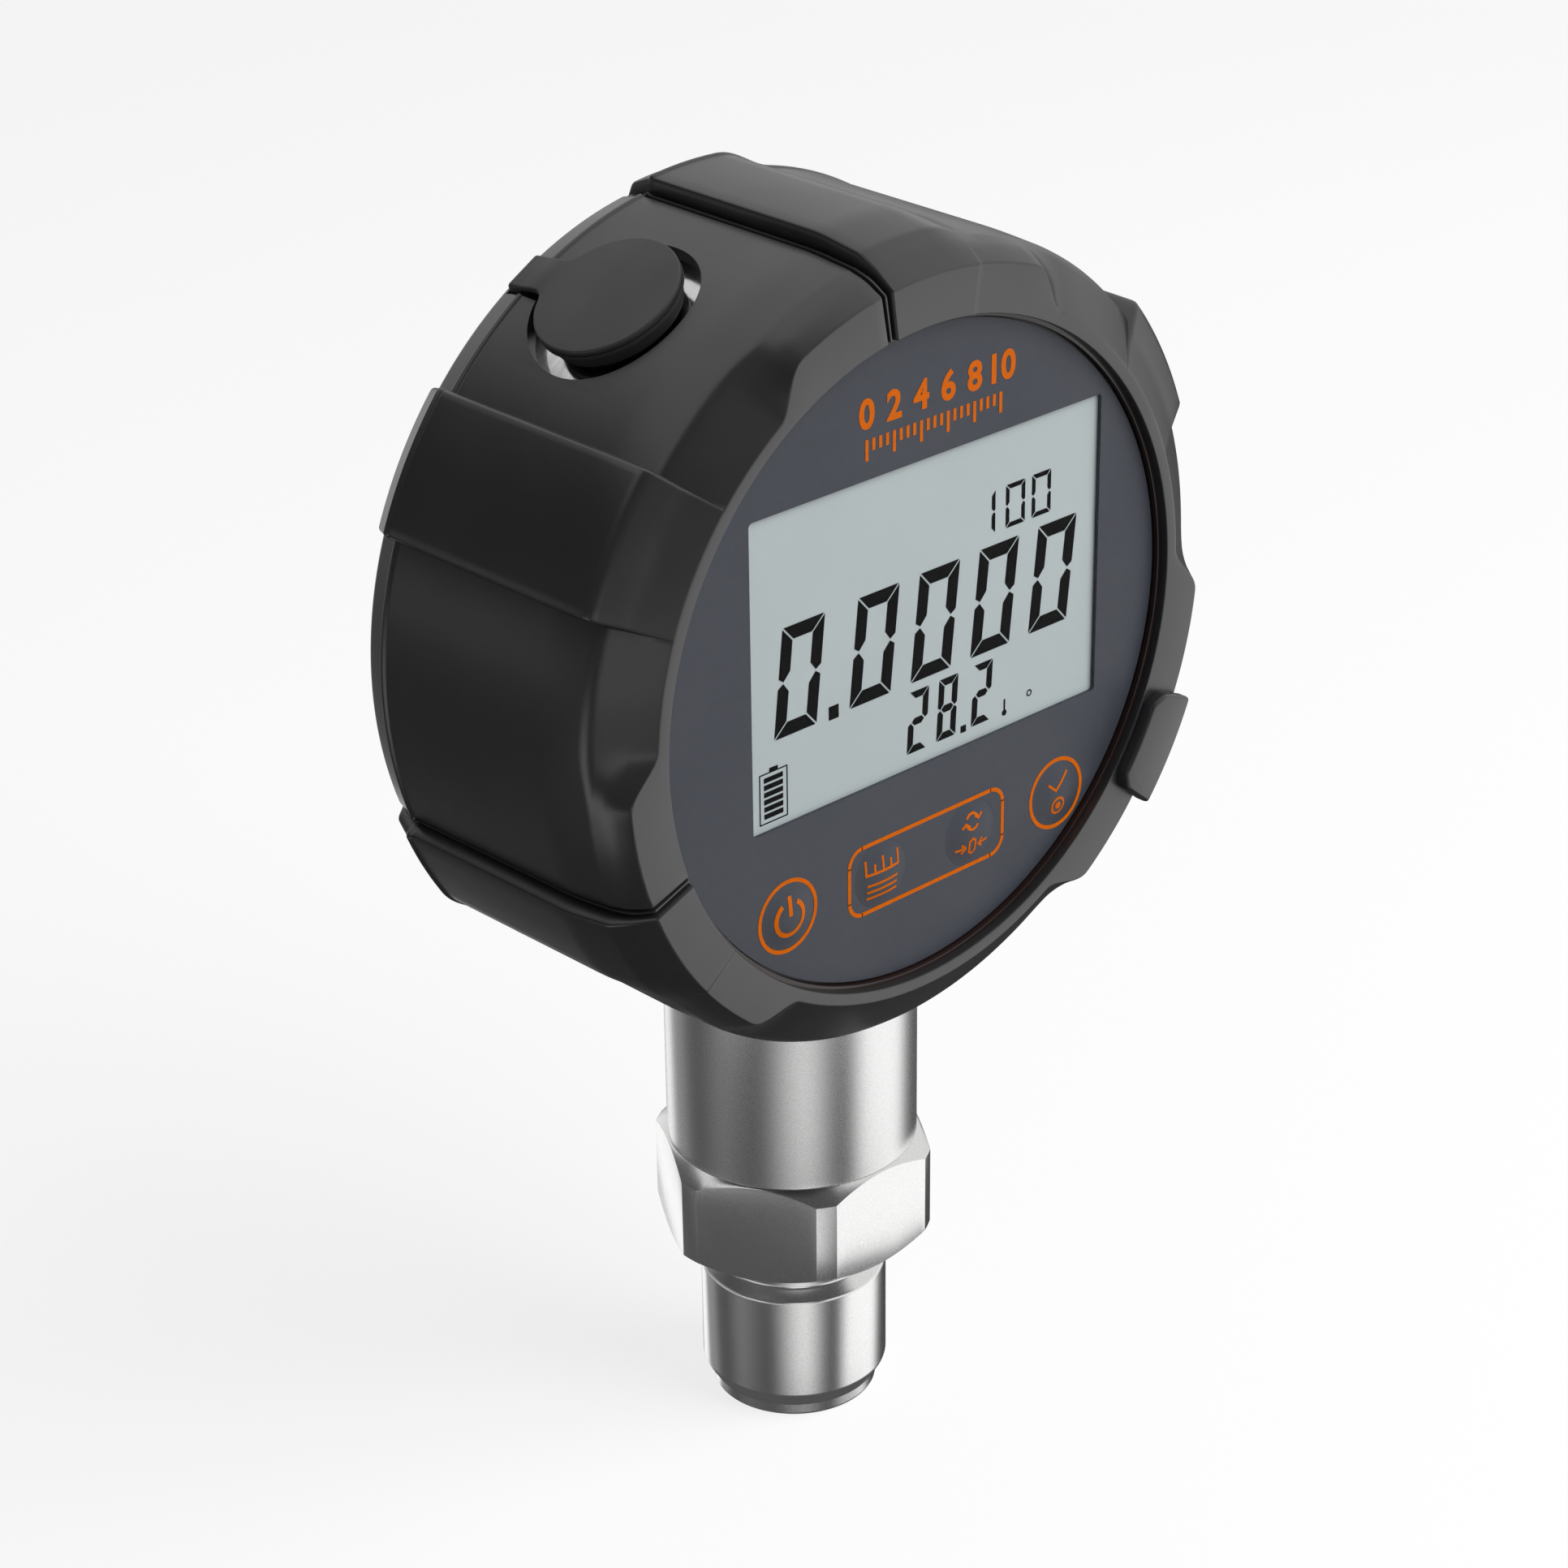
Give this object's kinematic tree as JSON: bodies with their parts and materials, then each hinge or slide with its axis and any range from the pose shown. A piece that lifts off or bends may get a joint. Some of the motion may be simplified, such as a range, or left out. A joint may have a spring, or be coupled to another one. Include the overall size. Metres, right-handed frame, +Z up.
{
  "type": "digital pressure gauge",
  "caption": "Battery-powered digital pressure gauge: round steel case in a rubber boot, display window and press keys, tethered port plug, hexagon neck with screwed stub.",
  "frame": {"origin": "middle of the screwed stub's full-diameter length, on the neck's axis", "axes": "+Z up the neck to the dial, -Y out of the dial towards the reader, +X to the reader's right"},
  "size_m": [0.0838, 0.0382, 0.1355],
  "materials": {
    "rubber_boot": "moulded, satin",
    "rubber_plug": "moulded, matt",
    "rubber_seal": "matt",
    "steel_case": "polished",
    "screw_steel": "bright",
    "bezel_black": "gloss",
    "panel_film": "satin printed film",
    "plastic_dark": "matt",
    "window": "clear",
    "lcd": "grey-green display",
    "plastic_white": "diffusing",
    "silicone_pink": "striped elastomer",
    "board_green": "solder mask",
    "chip_black": "moulded",
    "cell_wrap": "shrink sleeve",
    "contact_metal": "plated",
    "brass_post": "turned",
    "steel_neck": "finely turned stainless steel",
    "wire_red": "insulation"
  },
  "bodies": {
    "gauge": {"boot": "rubber_boot", "case_shell": "steel_case", "rear_cover": "steel_case", "rear_gasket": "rubber_seal", "rear_screws": "screw_steel", "bezel_ring": "bezel_black", "bezel_seal": "rubber_seal", "front_film": "panel_film", "front_plate": "plastic_dark", "window_pane": "window", "lcd_glass": "lcd", "lcd_backlight": "plastic_white", "lcd_strips": "silicone_pink", "key_switches": "plastic_dark", "main_board": "board_green", "board_parts": "chip_black", "board_screws": "screw_steel", "battery_holder": "plastic_dark", "battery_cell": "cell_wrap", "battery_contacts": "contact_metal", "charge_board": "board_green", "charge_socket": "contact_metal", "charge_posts": "brass_post", "port_bush": "plastic_dark", "neck_tube": "steel_neck", "process_body": "steel_neck", "sensor_capsule": "steel_neck", "sensor_seal": "rubber_seal", "sensor_ring": "steel_neck", "sensor_wires": "wire_red", "wire_grommet": "rubber_seal"},
    "plug": {"port_plug": "rubber_plug"},
    "key_power_cap": {"key_power": "panel_film"},
    "key_unit_cap": {"key_unit": "panel_film"},
    "key_mode_cap": {"key_mode": "panel_film"},
    "key_set_cap": {"key_set": "panel_film"}
  },
  "joints": [
    {"name": "plug_hinge", "type": "hinge", "parent": "gauge", "child": "plug", "pos_m": [-0.02087, 0.01279, 0.11864], "axis": [-0.866, 0, -0.5], "range_deg": [0, 140]},
    {"name": "key_power_press", "type": "slide", "parent": "gauge", "child": "key_power_cap", "axis": [0, 1, 0], "range_m": [0, 0.0004], "stiffness_N_per_m": 300},
    {"name": "key_unit_press", "type": "slide", "parent": "gauge", "child": "key_unit_cap", "axis": [0, 1, 0], "range_m": [0, 0.0004], "stiffness_N_per_m": 300},
    {"name": "key_mode_press", "type": "slide", "parent": "gauge", "child": "key_mode_cap", "axis": [0, 1, 0], "range_m": [0, 0.0004], "stiffness_N_per_m": 300},
    {"name": "key_set_press", "type": "slide", "parent": "gauge", "child": "key_set_cap", "axis": [0, 1, 0], "range_m": [0, 0.0004], "stiffness_N_per_m": 300}
  ]
}
